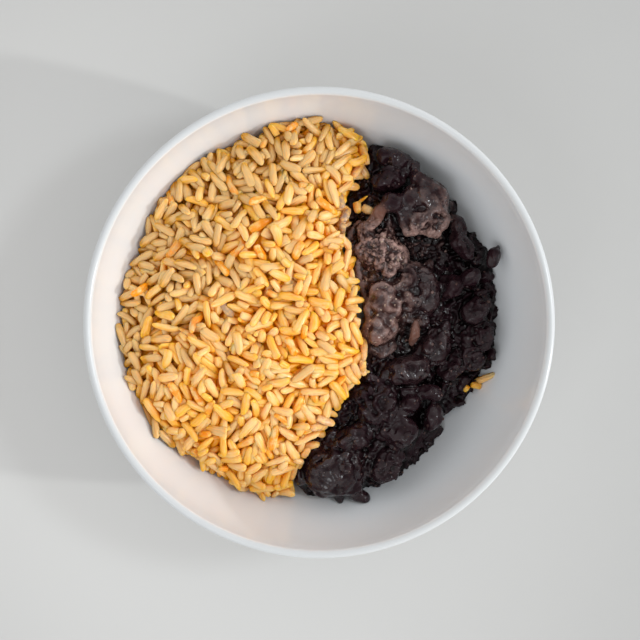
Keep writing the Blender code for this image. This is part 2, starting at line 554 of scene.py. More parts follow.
def make_bowl():
    """The bowl turned again from the CAD's own profile, in finer steps and with softer edges at the foot."""
    wall_centre = (FLAT_RADIUS, WALL_TOP)
    foot_angle = math.degrees(math.acos((FOOT_OUTER_RADIUS + FOOT_CHAMFER - FLAT_RADIUS) / OUTER_REACH))
    inside = arc(wall_centre, (INNER_REACH, WALL_TOP - FLOOR_HEIGHT), -90, 0, WALL_STEPS)
    lip = arc((RIM_RADIUS - LIP_RADIUS, WALL_TOP), (LIP_RADIUS, LIP_RADIUS), 180, 0, 2 * LIP_STEPS)
    outside = arc(wall_centre, (OUTER_REACH, WALL_TOP - UNDERSIDE_HEIGHT), 0, -foot_angle, WALL_STEPS)
    soft = FOOT_CHAMFER / 3
    foot = [
        (FOOT_OUTER_RADIUS + soft, 2 * FOOT_CHAMFER),
        (FOOT_OUTER_RADIUS, FOOT_CHAMFER),
        (FOOT_OUTER_RADIUS - soft, soft),
        (FOOT_OUTER_RADIUS - FOOT_CHAMFER, 0.0),
        (FOOT_INNER_RADIUS + FOOT_CHAMFER, 0.0),
        (FOOT_INNER_RADIUS + soft, soft),
        (FOOT_INNER_RADIUS, FOOT_CHAMFER),
        (FOOT_INNER_RADIUS - soft, UNDERSIDE_HEIGHT - soft),
        (FOOT_INNER_RADIUS - FOOT_CHAMFER, UNDERSIDE_HEIGHT),
        (0.0, UNDERSIDE_HEIGHT),
    ]
    profile = [(0.0, FLOOR_HEIGHT), (FLAT_RADIUS / 2, FLOOR_HEIGHT)] + inside + lip[1:] + outside[1:] + foot
    bm = bmesh.new()
    verts = [bm.verts.new((radius * MM, 0.0, height * MM)) for radius, height in profile]
    edges = [bm.edges.new(pair) for pair in zip(verts, verts[1:])]
    bmesh.ops.spin(
        bm, geom=verts + edges, cent=(0, 0, 0), axis=(0, 0, 1), angle=2 * math.pi, steps=TURN_STEPS,
        use_merge=True,
    )
    bmesh.ops.remove_doubles(bm, verts=bm.verts, dist=0.001 * MM)
    bmesh.ops.recalc_face_normals(bm, faces=bm.faces)
    piece = show("glazed_bowl", mesh_from(bm, "glazed_bowl"), glaze_look())
    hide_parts("bowl")


# --------------------------------------
# Rice
# --------------------------------------
GRAIN_SIDES = 8
GRAIN_RINGS = 9
GRAIN_BLUNTNESS = 3.9
BEND_MIDDLE = 0.4
RICE_CORE_SCALE = (0.94, 0.94, 0.92)
RICE_CORE_DEPTH = 2.5
MOST_GRAINS = 2200
MOST_MISSES = 1500
TRIES_PER_GRAIN = 4
LOW_PITCHES = np.radians((-30, -20, -10, 0, 10, 20, 30))
STEEP_PITCHES = np.radians((-58, -46, 46, 58))
STEEP_SHARE = 0.09
GRAIN_VARIANTS = 3
# A grain rests on the highest fortieth of the ground under it, and settles this far into that.
REST_PARTS = 40
SETTLE = 1.05

# Each kind of grain: its name, share of the heap, length, width and thickness ranges, sideways bend,
# how much slimmer its far end is, where that end is cut off (1 is whole), and how far it is split.
GRAIN_KINDS = (
    ("straight", 0.31, (7.8, 9.8), (2.6, 3.2), (2.0, 2.4), 0.00, 0.19, 1.00, 0.0),
    ("curved", 0.27, (7.6, 9.6), (2.6, 3.2), (2.0, 2.4), 0.32, 0.22, 1.00, 0.0),
    ("hooked", 0.07, (7.4, 9.2), (2.5, 3.0), (1.9, 2.3), -0.65, 0.10, 1.00, 0.0),
    ("blunt", 0.14, (7.0, 8.8), (2.7, 3.3), (2.0, 2.4), 0.15, 0.04, 0.78, 0.0),
    ("split", 0.14, (7.4, 9.2), (2.8, 3.4), (1.8, 2.2), -0.20, 0.00, 1.00, 0.6),
    ("broken", 0.07, (4.0, 6.0), (2.2, 2.8), (1.8, 2.2), 0.10, 0.00, 0.62, 0.0),
)
# Where the rice ends towards the beans: y, x.
RICE_BORDER = (
    (-62.0, -7.5), (-46.0, -5.0), (-40.0, -1.2), (-32.6, 2.8), (-26.0, 6.0), (-19.5, 13.0), (-15.0, 15.6),
    (-8.0, 16.5), (-2.5, 13.2), (5.0, 12.6), (18.0, 13.0), (23.5, 10.7), (27.0, 9.3), (36.0, 8.7),
    (41.0, 6.6), (44.0, 8.7), (46.5, 12.0), (50.0, 17.4), (68.0, 17.4),
)
BORDER_BACK = 0.6
BORDER_WOBBLE = 1.2
# The heap falls away towards -X, beyond FALL_START, by FALL_SLOPE for each millimetre.
FALL_START = -24.0
FALL_SLOPE = 0.14
# Notches in the heap's outer edge: how deep they are, and how far in from the edge they may reach.
NOTCH_DEPTH = 4.5
NOTCH_REACH = 6.0
# A grain is laid where the heap still lacks LEAST_LACK of the grain's thickness. It stays if its middle,
# raised by HELD_SHARE of that thickness, is at most PROUD above the heap; for some grains, MOST_PROUD.
LEAST_LACK = 0.25
HELD_SHARE = 0.35
PROUD = 1.4
MOST_PROUD = 2.6
MOST_PROUD_SHARE = 0.25
# How many cells a grain chooses from, up to FIRST_MISSES and later. In the last FILLING_MISSES only
# broken grains are tried.
SEARCH_FIRST = 24
SEARCH_LATER = 120
FIRST_MISSES = 300
FILLING_MISSES = 300
STAINED_SHARE = 0.05
STAIN_SPAN = (0.6, 1.0)
COAT_SPAN = (0.2, 1.0)
LEAST_TONE = 0.2
# A small share of clear grains lies anywhere, as the rice's own variety, and a larger share towards -X and
# +Y, as painted shade.
CLEAR_TONE = 0.14
LEAST_CLEAR = 0.07
SHADE_SIDE_CLEAR = 0.75
# Each point of a grain carries its tone, its place along and up the grain, its stain and bean coat, its
# place in the grain's own frame, and how deep it lies among its neighbours. Its place up the grain paints
# shade on its lower flank, and how deep it lies paints shade in the gaps.
GRAIN_FACTS = ("tone", "along", "shaded_flank", "stain", "coat", "own", "sunk")
# Shade is painted in full on a grain this far below the mean of the tops, taken over squares this wide.
GAP_SHADE_DEPTH = 3.2
TOPS_SPREAD = 4.5


def grain_outline(share):
    """The half width of a grain along its length, share running from -1 to 1 between its ends."""
    return np.sqrt(np.clip(1 - np.abs(share) ** GRAIN_BLUNTNESS, 0, 1))


def grain_template(bend, taper, cut, split, seed):
    """(unit points, faces, place along): a grain along X, 2 long, 2 wide and 2 thick before it is sized."""
    bm = lying_sphere(GRAIN_SIDES, GRAIN_RINGS)
    for vert in bm.verts:
        along = max(-1.0, min(1.0, vert.co.x))
        ring = math.sqrt(max(1e-9, 1 - along * along))
        along *= 1.18 - 0.18 * along * along
        fullness = float(grain_outline(along * 0.995)) * (1 - taper * along)
        wobble = 1 + 0.17 * noise.noise(Vector((along * 2.2, vert.co.y * 0.9, vert.co.z * 0.9 + seed)))
        scale = fullness / ring * wobble if ring > 0.01 else 0.0
        side = 1 if vert.co.y > 0 else -1
        parted = split * max(0.0, along - 0.25) ** 1.5 * side * (1 if ring > 0.2 else 0)
        vert.co.x = min(along, cut + 0.10 * vert.co.y)
        vert.co.y = vert.co.y * scale + bend * (BEND_MIDDLE - along * along) + parted
        vert.co.z = vert.co.z * scale
        if split and abs(vert.co.y) < 0.3 and along > 0.3:
            vert.co.z *= 0.55
    points, faces = template_from(bm)
    return points, faces, np.abs(points[:, 0])


def lay_grain(ground, target, cells, sizes, bend, proud, pitches, search):
    """Finds where a grain comes to rest: (x, y, height, heading, pitch), or None if it would stand proud."""
    length, width, thickness = sizes
    lack = target - ground
    rows, columns = cells
    pick = RANDOM.integers(len(rows), size=search)
    best_pick = pick[np.argmax(lack[rows[pick], columns[pick]])]
    row, column = rows[best_pick], columns[best_pick]
    if lack[row, column] < thickness * LEAST_LACK:
        return None
    reach = int(length / 2 / CELL) + 2
    best = None
    for heading in RANDOM.uniform(0, math.pi * 2, TRIES_PER_GRAIN):
        shift = RANDOM.uniform(-0.4, 0.4) * length / 2 / CELL
        r = row + int(round(shift * math.cos(heading)))
        c = column + int(round(shift * math.sin(heading)))
        if min(r, c) < reach or max(r, c) + reach >= MAP_CELLS:
            continue
        window = (slice(r - reach, r + reach + 1), slice(c - reach, c + reach + 1))
        across_x = MAP_X[window] - CENTRES[r]
        across_y = MAP_Y[window] - CENTRES[c]
        u = across_x * math.cos(heading) + across_y * math.sin(heading)
        v = across_y * math.cos(heading) - across_x * math.sin(heading)
        for pitch in pitches:
            share = u / (length / 2 * math.cos(pitch))
            half_width = width / 2 * grain_outline(share)
            side = v - bend * width / 2 * (BEND_MIDDLE - share * share)
            inside = (np.abs(share) < 0.97) & (np.abs(side) < half_width * 0.96)
            s = share[inside]
            depth = thickness / 2 * grain_outline(s) * np.sqrt(1 - (side[inside] / half_width[inside]) ** 2)
            middle = u[inside] * math.tan(pitch)
            need = np.sort(ground[window][inside] - (middle - depth))
            height = need[-max(1, len(need) // REST_PARTS)] - SETTLE
            if best is None or height < best[0]:
                best = (height, r, c, heading, pitch, window, inside, middle + depth)
    if best is None:
        return None
    height, r, c, heading, pitch, window, inside, top = best
    if height + thickness * HELD_SHARE > target[r, c] + proud:
        return None
    patch = ground[window]
    patch[inside] = np.maximum(patch[inside], height + top)
    return CENTRES[r], CENTRES[c], height, heading, pitch


def make_core(target):
    """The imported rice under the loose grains: the heap's own shape, smaller and below their tops."""
    low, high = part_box("rice")
    bm = shrunk_copy("rice", "rice_core", low, high, RICE_CORE_SCALE, 0.0)
    for vert in bm.verts:
        row, column = cell_at(vert.co.x / MM, vert.co.y / MM)
        roof = (target[row, column] - RICE_CORE_DEPTH) * MM
        if roof > low[2]:
            vert.co.z = min(vert.co.z, roof)
    hold_inside_wall(bm)
    core = mesh_from(bm, "rice_core")
    piece = show("rice_core", core, core_look())
    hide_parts("rice")
    return core


def rice_target(rice_top):
    """(where rice lies, the height it is heaped to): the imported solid's top, made uneven and notched."""
    border = np.interp(MAP_Y, [y for y, x in RICE_BORDER], [x for y, x in RICE_BORDER])
    heaped = (rice_top > NOTHING) & (MAP_X < border - BORDER_BACK + BORDER_WOBBLE * noise_map(4.0, 14.0))
    notched = heaped & (blurred(heaped, NOTCH_REACH) < 0.58 + 0.60 * noise_map(5.0, 9.0))
    uneven = 1.9 * noise_map(9.0, 5.0) + 0.8 * noise_map(4.0, 2.0)
    away = np.clip(FALL_START - MAP_X + 0.25 * MAP_Y, 0, None)
    return heaped, np.where(heaped, rice_top + uneven - FALL_SLOPE * away - NOTCH_DEPTH * notched, NOTHING)


def make_rice(rice_top, beans_top, wall):
    """Lays grains one by one until no more fit. Returns the heights reached, the look and the templates."""
    heaped, target = rice_target(rice_top)
    ground = np.maximum(np.maximum(height_map(make_core(target)), wall), beans_top)
    cells = np.nonzero(heaped)
    names = [kind[0] for kind in GRAIN_KINDS]
    shares = np.array([kind[1] for kind in GRAIN_KINDS])
    templates = {}
    heaps = {}
    for number, kind in enumerate(GRAIN_KINDS):
        bend, taper, cut, split = kind[5:]
        seeds = [number * 5.0 + variant * 1.7 for variant in range(GRAIN_VARIANTS)]
        templates[kind[0]] = [grain_template(bend, taper, cut, split, seed) for seed in seeds]
        heaps[kind[0]] = ([], {fact: [] for fact in GRAIN_FACTS})
    misses = 0
    count = 0
    while count < MOST_GRAINS and misses < MOST_MISSES:
        filling = misses > MOST_MISSES - FILLING_MISSES
        name = "broken" if filling else names[RANDOM.choice(len(names), p=shares)]
        kind = GRAIN_KINDS[names.index(name)]
        sizes = tuple(RANDOM.uniform(*span) for span in kind[2:5])
        proud = MOST_PROUD if RANDOM.random() < MOST_PROUD_SHARE else PROUD
        pitches = STEEP_PITCHES if RANDOM.random() < STEEP_SHARE else LOW_PITCHES
        search = SEARCH_FIRST if misses < FIRST_MISSES else SEARCH_LATER
        spot = lay_grain(ground, target, cells, sizes, kind[5], proud, pitches, search)
        if spot is None:
            misses += 1
            continue
        count += 1
        row, column = cell_at(*spot[:2])
        stain = RANDOM.uniform(*STAIN_SPAN) * float(RANDOM.random() < STAINED_SHARE)
        coat = beans_near(beans_top, row, column) * RANDOM.uniform(*COAT_SPAN)
        template = templates[name][int(RANDOM.integers(GRAIN_VARIANTS))]
        tone = RANDOM.uniform(LEAST_TONE, 1) ** 1.3
        # Painted shade: grains towards -X and +Y are more often made clear and darker.
        if RANDOM.random() < shaded_clear_share(*spot[:2]):
            tone = RANDOM.uniform(0, CLEAR_TONE)
        add_grain(heaps[name], template, sizes, spot, tone, stain, coat)
    print("rice grains", count)
    look = grain_look()
    mean_top = blurred(ground, TOPS_SPREAD)
    for name, (copies, facts) in heaps.items():
        # How deep each point lies among its neighbours, for the painted shade in the gaps.
        facts["sunk"] = [np.clip(sunk(points, mean_top) / GAP_SHADE_DEPTH, 0, 1) for points, _ in copies]
        piece_name = "rice_" + name
        show(piece_name, joined_copies(piece_name, copies, facts), look)
    return ground, look, templates


def shaded_clear_share(x, y):
    """The share of clear, darker grains: few in the middle and at -Y, as the rice's own variety, and most
    towards -X and +Y, where they paint the shade of the heap's side turned from the light.
    """
    away = max(0.0, min(1.0, (0.0215 * (-22 - x) + 0.0175 * y - 0.10) / 0.80))
    return LEAST_CLEAR + SHADE_SIDE_CLEAR * away * away * (3 - 2 * away)


def add_grain(heap, template, sizes, spot, tone, stain, coat):
    """Adds one grain to a heap of its kind. Its own frame, shifted at random, carries its streaks."""
    copies, facts = heap
    points, faces, along = template
    laid = inside_wall(placed(points, sizes, spot, RANDOM.normal(0, 0.5)))
    copies.append((laid, faces))
    # 0 on the grain's top, 1 on its underside; the look darkens the lower part as painted shade.
    facts["shaded_flank"].append(np.clip((spot[2] + 0.5 * sizes[2] - laid[:, 2]) / sizes[2], 0, 1))
    facts["own"].append((points * np.array(sizes) / 2 + RANDOM.uniform(-400, 400, 3)) * MM)
    facts["along"].append(along)
    for fact, value in (("tone", tone), ("stain", stain), ("coat", coat)):
        facts[fact].append(np.full(len(points), value))


# Grains that show one by one: x, y, heading, length, width, kind, tone, orange stain, bean coat.
SINGLE_GRAINS = (
    (12.9, 39.0, 100, 4.8, 3.1, "broken", 0.7, 0.35, 0.0),
    (14.7, 41.4, 38, 4.2, 1.1, "curved", 1.0, 1.0, 0.0),
    (16.0, 38.0, 155, 4.9, 2.9, "broken", 0.0, 0.0, 0.15),
    (7.2, 40.5, 95, 6.8, 2.6, "curved", 0.0, 0.0, 0.8),
    (9.0, 35.6, 62, 6.2, 2.6, "straight", 0.0, 0.0, 0.9),
    (7.8, 31.2, 84, 6.6, 2.5, "blunt", 0.1, 0.0, 0.7),
    (-30.5, 4.4, 128, 7.0, 2.8, "blunt", 0.0, 0.0, 0.75),
    (-31.8, 18.2, 125, 7.2, 2.7, "split", 0.6, 1.0, 0.0),
    (-4.9, -3.2, 80, 5.6, 2.3, "split", 0.8, 1.0, 0.0),
    (-60.0, 10.6, 35, 6.8, 2.8, "split", 0.6, 1.0, 0.0),
    (-6.4, 12.0, 70, 6.4, 2.6, "straight", 0.5, 0.9, 0.0),
    (-20.0, 40.0, 15, 6.8, 2.6, "curved", 0.5, 0.8, 0.0),
    (-36.0, -28.0, 60, 6.6, 2.6, "curved", 0.6, 0.8, 0.0),
    (-12.0, -32.0, 140, 6.6, 2.6, "split", 0.6, 0.9, 0.0),
    (57.6, -19.4, 22, 9.4, 2.7, "straight", 0.2, 0.1, 0.0),
    (54.6, -22.0, -8, 5.2, 2.5, "broken", 1.0, 0.5, 0.0),
    (50.9, -22.8, 60, 3.2, 1.8, "broken", 1.0, 1.0, 0.0),
    (-26.0, -57.0, 170, 7.0, 2.5, "curved", 0.4, 0.0, 0.0),
)


def lay_single_grains(tops, look, templates):
    """Lays the single grains on the rice, on the beans and on the bowl's wall, each along its slope."""
    slope_x, slope_y = np.gradient(blurred(tops, 2.5), CELL)
    heap = ([], {fact: [] for fact in GRAIN_FACTS})
    for number, (x, y, heading, length, width, kind, tone, stain, coat) in enumerate(SINGLE_GRAINS):
        row, column = cell_at(x, y)
        turn = math.radians(heading)
        climb = math.atan(slope_x[row, column] * math.cos(turn) + slope_y[row, column] * math.sin(turn))
        near = tops[row - 3:row + 4, column - 3:column + 4]
        height = float(np.median(near)) + 0.30 * width / math.cos(climb)
        template = templates[kind][number % GRAIN_VARIANTS]
        sizes = (length, width, 0.8 * width)
        add_grain(heap, template, sizes, (x, y, height, turn, climb), tone, stain, coat)
    copies, facts = heap
    # Single grains lie on top and get no painted shade in the gaps.
    facts["sunk"] = [np.zeros(len(points)) for points, _ in copies]
    show("rice_single", joined_copies("rice_single", copies, facts), look)


def beans_near(beans_top, row, column):
    """1 on the beans, falling to 0 three millimetres away from them."""
    reach = int(3.0 / CELL)
    patch = beans_top[max(0, row - reach):row + reach, max(0, column - reach):column + reach]
    return min(1.0, 2.0 * float((patch > NOTHING).mean()))


# --------------------------------------
# Beans
# --------------------------------------
BEAN_GRID = (20, 14)
BEAN_TEMPLATES = 7
# The step at which the crust is melted together, how far its ground lies below the heap, and its bottom.
VOXEL = 0.53
BASE_DROP = 3.6
CRUST_FLOOR = 15.0
POCKET_DEPTH = 3.0

# The mash's named lumps: x, y, height of the top, half length, half width, heading in degrees, kind.
LUMPS = (
    (25.2, 55.1, 33.5, 6.9, 3.7, 160, "skin"), (32.0, 51.9, 33.0, 2.8, 2.3, 70, "skin"),
    (24.0, 48.4, 33.5, 6.5, 4.5, 20, "dry"), (24.7, 40.3, 37.0, 4.2, 4.0, 0, "skin"),
    (37.5, 41.5, 37.0, 7.6, 6.4, 125, "mauve"), (35.0, 35.0, 36.6, 6.6, 5.4, 20, "mauve"),
    (31.0, 31.0, 35.4, 3.4, 2.2, 20, "crumb"), (37.6, 30.6, 34.6, 3.8, 2.4, 160, "crumb"),
    (41.5, 34.0, 34.8, 3.6, 2.8, 60, "crumb"), (30.5, 41.0, 35.6, 5.0, 3.6, 80, "skin"),
    (34.5, 47.0, 35.6, 4.8, 3.0, 140, "skin"), (28.6, 34.6, 35.0, 3.8, 2.8, 110, "skin"),
    (19.3, 35.8, 37.0, 4.4, 2.6, 60, "brown"), (21.1, 22.9, 37.0, 9.6, 7.6, 150, "crumb"),
    (16.0, 30.0, 35.5, 4.5, 3.5, 100, "crumb"), (21.8, 7.5, 37.0, 8.4, 7.6, 80, "paste"),
    (20.5, -1.0, 36.5, 7.0, 6.6, 60, "paste"), (19.0, -5.8, 37.0, 2.4, 2.2, 0, "brown"),
    (31.9, -3.6, 35.5, 4.6, 1.9, 80, "brown"), (35.9, 10.5, 34.5, 8.0, 5.0, 95, "sheen"),
    (51.6, 15.5, 30.0, 3.9, 3.4, 30, "skin"), (58.9, 22.0, 32.5, 4.0, 2.6, 75, "skin"),
    (53.3, 4.1, 29.5, 5.2, 4.4, 40, "dry"), (55.6, -4.3, 28.0, 5.4, 4.2, 90, "dry"),
    (52.0, -12.0, 28.0, 5.4, 4.8, 120, "dry"), (45.0, 12.0, 31.0, 4.4, 3.6, 70, "dry"),
    (38.6, -8.5, 32.0, 7.0, 6.0, 40, "sheen"), (29.8, -16.0, 34.0, 8.6, 5.6, 10, "sheen"),
    (45.0, -15.5, 29.0, 5.0, 4.2, 30, "dry"), (37.6, -24.0, 31.0, 4.6, 3.2, 170, "skin"),
    (30.9, -27.4, 33.0, 3.8, 3.2, 40, "skin"), (28.2, -37.5, 34.0, 5.9, 4.9, 35, "skin"),
    (38.9, -32.1, 29.0, 5.2, 3.7, 80, "skin"), (23.1, -48.2, 31.0, 6.9, 4.9, 70, "dry"),
    (5.7, -49.5, 31.5, 12.0, 11.0, 20, "sheen"), (10.0, -55.0, 28.0, 5.0, 4.0, 150, "skin"),
    (0.5, -53.5, 28.5, 5.2, 4.2, 60, "skin"), (13.8, -60.0, 24.5, 4.2, 2.6, 160, "skin"),
    (19.8, -27.7, 35.0, 8.4, 7.0, 70, "dry"), (12.4, -38.5, 34.0, 6.4, 5.0, 30, "dry"),
    (48.5, 26.0, 31.0, 5.5, 3.6, 130, "dry"), (47.0, 33.0, 30.0, 4.4, 3.0, 120, "skin"),
    (30.0, 15.5, 34.0, 4.6, 3.2, 120, "dry"),
)
# Deep pockets between the lumps: x, y, radius.
POCKETS = (
    (33.9, 23.6, 5.0), (27.2, -7.8, 2.4), (47.0, -1.0, 2.4), (34.0, -32.8, 1.8), (44.0, 20.2, 3.0),
    (12.7, 35.3, 2.2), (30.5, 31.0, 2.0),
)
FIELDS = ("paste", "crumbly", "brown", "sheen", "whole")
# How each kind of lump feels: paste, crumbly, brown, sheen, whole.
FEEL = {
    "skin": (0.0, 0.0, 0.0, 0.35, 1.0),
    "dry": (0.0, 0.06, 0.0, 0.1, 0.0),
    "sheen": (0.05, 0.0, 0.03, 1.0, 0.0),
    "mauve": (0.36, 0.04, 0.0, 0.9, 0.0),
    "paste": (1.0, 0.0, 0.0, 0.8, 0.0),
    "crumb": (0.0, 1.0, 0.0, 0.3, 0.0),
    "brown": (0.2, 0.1, 1.0, 0.3, 0.3),
}
# How strongly plain mash, with none of these, holds its own against the lumps.
BASE_WEIGHT = 0.18
# Random bits of bean between the lumps: how many, their lengths, and the widths and thicknesses to these.
FILLER_LUMPS = 90
FILLER_LENGTH = (4.0, 10.5)
FILLER_WIDTH = (0.42, 0.75)
FILLER_THICKNESS = (0.30, 0.55)
FILLER_DEPTH = (0.2, 1.6)
FILLER_STEEPEST = 2.5
MELT_ROUNDS = 9
# Folds, creases and wrinkles: depth, distance apart, seed, winding, middle, the share that smooth mash
# keeps, and the share that crumbly mash loses.
FOLDS = (
    (2.0, 7.0, 3.0, 0.8, 0.30, 0.30, 0.0),
    (1.8, 3.8, 7.0, 0.8, 0.35, 0.10, 0.7),
    (1.2, 2.1, 12.0, 1.2, 0.30, 0.10, 1.0),
)
GRIT_DEPTH = 0.35
WAVE_DEPTH = 1.9
CRUMB_DEPTH = 3.0
BEAN_CORE_SCALE = (0.93, 0.95, 0.80)
BEAN_CORE_SINK = 1.5


def bean_template(seed):
    """(unit points, faces): a whole bean along X, dented on one side."""
    bm = lying_sphere(*BEAN_GRID)
    for vert in bm.verts:
        outward = vert.co.copy()
        vert.co.y -= 0.20 * math.exp(-5 * outward.x ** 2) * max(0.0, outward.y)
        vert.co += outward * 0.16 * noise.noise(outward * 1.3 + Vector((seed, 0, 0)))
    return template_from(bm)


def lump_fields(places):
    """The mash's fields at these places, each taken from the lumps around them."""
    totals = np.zeros((len(places), len(FIELDS)))
    weights = np.full(len(places), BASE_WEIGHT)
    for x, y, _, half_length, half_width, heading, kind in LUMPS:
        turn = math.radians(heading)
        east = places[:, 0] - x
        north = places[:, 1] - y
        u = (east * math.cos(turn) + north * math.sin(turn)) / half_length
        v = (north * math.cos(turn) - east * math.sin(turn)) / half_width
        weight = np.exp(-0.9 * (u * u + v * v))
        totals += weight[:, None] * np.array(FEEL[kind])
        weights += weight
    return totals / weights[:, None]


def in_pocket(x, y):
    """Whether this place lies over one of the pockets."""
    return any(math.hypot(x - px, y - py) < radius for px, py, radius in POCKETS)


def rough_mash(beans_top):
    """The lowered heap, the named lumps and random bits of bean, all in one unmerged mesh."""
    bm = bmesh.new()
    bm.from_mesh(merged_copy("beans", "bean_mash"))
    cut = bmesh.ops.bisect_plane(
        bm, geom=bm.verts[:] + bm.edges[:] + bm.faces[:], plane_co=(0, 0, CRUST_FLOOR * MM),
        plane_no=(0, 0, -1), clear_outer=True,
    )
    rim = [edge for edge in cut["geom_cut"] if isinstance(edge, bmesh.types.BMEdge)]
    bmesh.ops.holes_fill(bm, edges=rim, sides=0)
    for vert in bm.verts:
        if vert.co.z < (CRUST_FLOOR + 0.1) * MM:
            continue
        vert.co.z -= BASE_DROP * MM * min(1.0, (vert.co.z / MM - CRUST_FLOOR) / 6.0)
        for x, y, radius in POCKETS:
            away = math.hypot(vert.co.x / MM - x, vert.co.y / MM - y) / radius
            vert.co.z = max(vert.co.z - POCKET_DEPTH * MM * math.exp(-away * away), CRUST_FLOOR * MM)
    copies = [mesh_arrays(mesh_from(bm, "bean_mash"))]
    templates = [bean_template(seed * 3.1) for seed in range(BEAN_TEMPLATES)]
    for number, (x, y, top, half_length, half_width, heading, _) in enumerate(LUMPS):
        thick = 0.8 * half_width + 1.0
        spot = (x, y, top - thick, math.radians(heading), 0.0)
        points, faces = templates[number % len(templates)]
        copies.append((placed(points, (2 * half_length, 2 * half_width, 2 * thick), spot, 0.0), faces))
    slope_x, slope_y = np.gradient(beans_top, CELL)
    rows, columns = np.nonzero((beans_top > NOTHING) & (np.hypot(slope_x, slope_y) < FILLER_STEEPEST))
    for _ in range(FILLER_LUMPS):
        pick = RANDOM.integers(len(rows))
        row, column = rows[pick], columns[pick]
        length = RANDOM.uniform(*FILLER_LENGTH)
        sizes = (length, length * RANDOM.uniform(*FILLER_WIDTH), length * RANDOM.uniform(*FILLER_THICKNESS))
        height = beans_top[row, column] - sizes[2] * 0.5 - RANDOM.uniform(*FILLER_DEPTH)
        heading = RANDOM.uniform(0, 2 * math.pi)
        climb = slope_x[row, column] * math.cos(heading) + slope_y[row, column] * math.sin(heading)
        roll = RANDOM.normal(0, 0.5)
        if in_pocket(CENTRES[row], CENTRES[column]):
            continue
        spot = (CENTRES[row], CENTRES[column], height, heading, math.atan(climb) * 0.8)
        points, faces = templates[int(RANDOM.integers(len(templates)))]
        copies.append((placed(points, sizes, spot, roll), faces))
    return joined_copies("bean_mash", copies, {})


def merged(mesh, voxel):
    """The mesh's bodies melted into one closed skin."""
    rough = new_object("melting", mesh)
    melt = rough.modifiers.new("Melt", "REMESH")
    melt.mode = "VOXEL"
    melt.voxel_size = voxel * MM
    graph = bpy.context.evaluated_depsgraph_get()
    made = bpy.data.meshes.new_from_object(rough.evaluated_get(graph))
    bpy.data.objects.remove(rough)
    return made


def ridge(place, size, seed, warp):
    """1 along winding lines about size millimetres apart, falling to 0 between them."""
    scaled = place / size + Vector((seed, seed * 1.7, -seed))
    bent = scaled + noise.noise_vector(scaled * 0.6) * warp
    return max(0.0, 1 - 2.4 * abs(noise.noise(bent)))


def mash_rise(p, paste, crumbly, sheen, whole):
    """How far the mash stands out at p, from its folds, creases, wrinkles, waves and crumbs."""
    smoothness = min(1.0, 0.75 * paste + 0.70 * sheen + 0.9 * whole)
    rough = 1 - smoothness
    rise = 0.0
    for depth, apart, seed, winding, middle, kept, lost in FOLDS:
        share = (kept + (1 - kept) * rough) * (1 - lost * crumbly)
        rise += depth * (ridge(p, apart, seed, winding) - middle) * share
    rise += GRIT_DEPTH * noise.noise(p / 1.6) * (0.20 + 0.80 * rough)
    rise += WAVE_DEPTH * noise.noise(p / 3.0 + Vector((0, 5, 0))) * smoothness * (1 - whole)
    if crumbly > 0.1:
        nearest = noise.voronoi(p / 2.3)[0]
        rise += CRUMB_DEPTH * crumbly * (min(0.5, nearest[1] - nearest[0]) - 0.2)
        small = noise.voronoi(p / 1.35 + Vector((3, 0, 9)))[0]
        rise += 0.5 * CRUMB_DEPTH * crumbly * (min(0.5, small[1] - small[0]) - 0.2)
    return rise


def make_mash(beans_top, wall):
    """The worked crust of the mash, its core and its loose bits. Returns the crust's heights."""
    bm = bmesh.new()
    bm.from_mesh(merged(rough_mash(beans_top), VOXEL))
    for _ in range(MELT_ROUNDS):
        bmesh.ops.smooth_vert(
            bm, verts=bm.verts, factor=0.5, use_axis_x=True, use_axis_y=True, use_axis_z=True,
        )
    bm.normal_update()
    fields = lump_fields(np.array([vert.co[:] for vert in bm.verts]) / MM)
    for vert, (paste, crumbly, _, sheen, whole) in zip(bm.verts, fields):
        upright = min(1.0, 0.05 + 1.1 * max(0.0, vert.normal.z) ** 1.5)
        vert.co += vert.normal * mash_rise(vert.co / MM, paste, crumbly, sheen, whole) * upright * MM
    hold_inside_wall(bm)
    mash = mesh_from(bm, "bean_mash")
    for name, values in zip(FIELDS, fields.T):
        add_attribute(mash, name, values)
    # hollow: how far each point lies below the mean of the tops around it; the look paints shade in hollows
    # and light on raised parts.
    top = height_map(mash)
    mean_top = blurred(np.where(top > NOTHING, top, wall), 4.0)
    add_attribute(mash, "hollow", sunk(mesh_arrays(mash)[0], mean_top))
    look = mash_look()
    piece = show("bean_mash", mash, look)
    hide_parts("beans")
    make_mash_core(look)
    scatter_bits(mash, look)
    return top


def make_mash_core(look):
    """The plain mash deep in the heap, below the worked crust."""
    low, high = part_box("beans")
    bm = shrunk_copy("beans", "bean_core", low, high, BEAN_CORE_SCALE, BEAN_CORE_SINK)
    for vert in bm.verts:
        vert.co.z = max(vert.co.z, low[2])
    hold_inside_wall(bm)
    core = mesh_from(bm, "bean_core")
    for name in FIELDS + ("hollow",):
        add_attribute(core, name, np.zeros(len(core.vertices)))
    show("bean_core", core, look)


# --------------------------------------
# Crumbs of mash and scraps of bean skin, lying on the mash
# --------------------------------------
CRUMBS = 300
SKINS = 45
CRUMB_SPAN = (0.5, 1.5)
SKIN_SPAN = (1.8, 4.0)
LEAST_UPRIGHT = 0.25
# A bit that the wall would push further than this is left out.
MOST_PUSH = 0.05


def crumb_template(seed):
    """(unit points, faces): a rough crumb, 2 across."""
    bm = bmesh.new()
    bmesh.ops.create_uvsphere(bm, u_segments=6, v_segments=5, radius=1.0)
    for vert in bm.verts:
        vert.co *= 1 + 0.45 * noise.noise(vert.co * 1.1 + Vector((seed, 2, 0)))
    return template_from(bm)


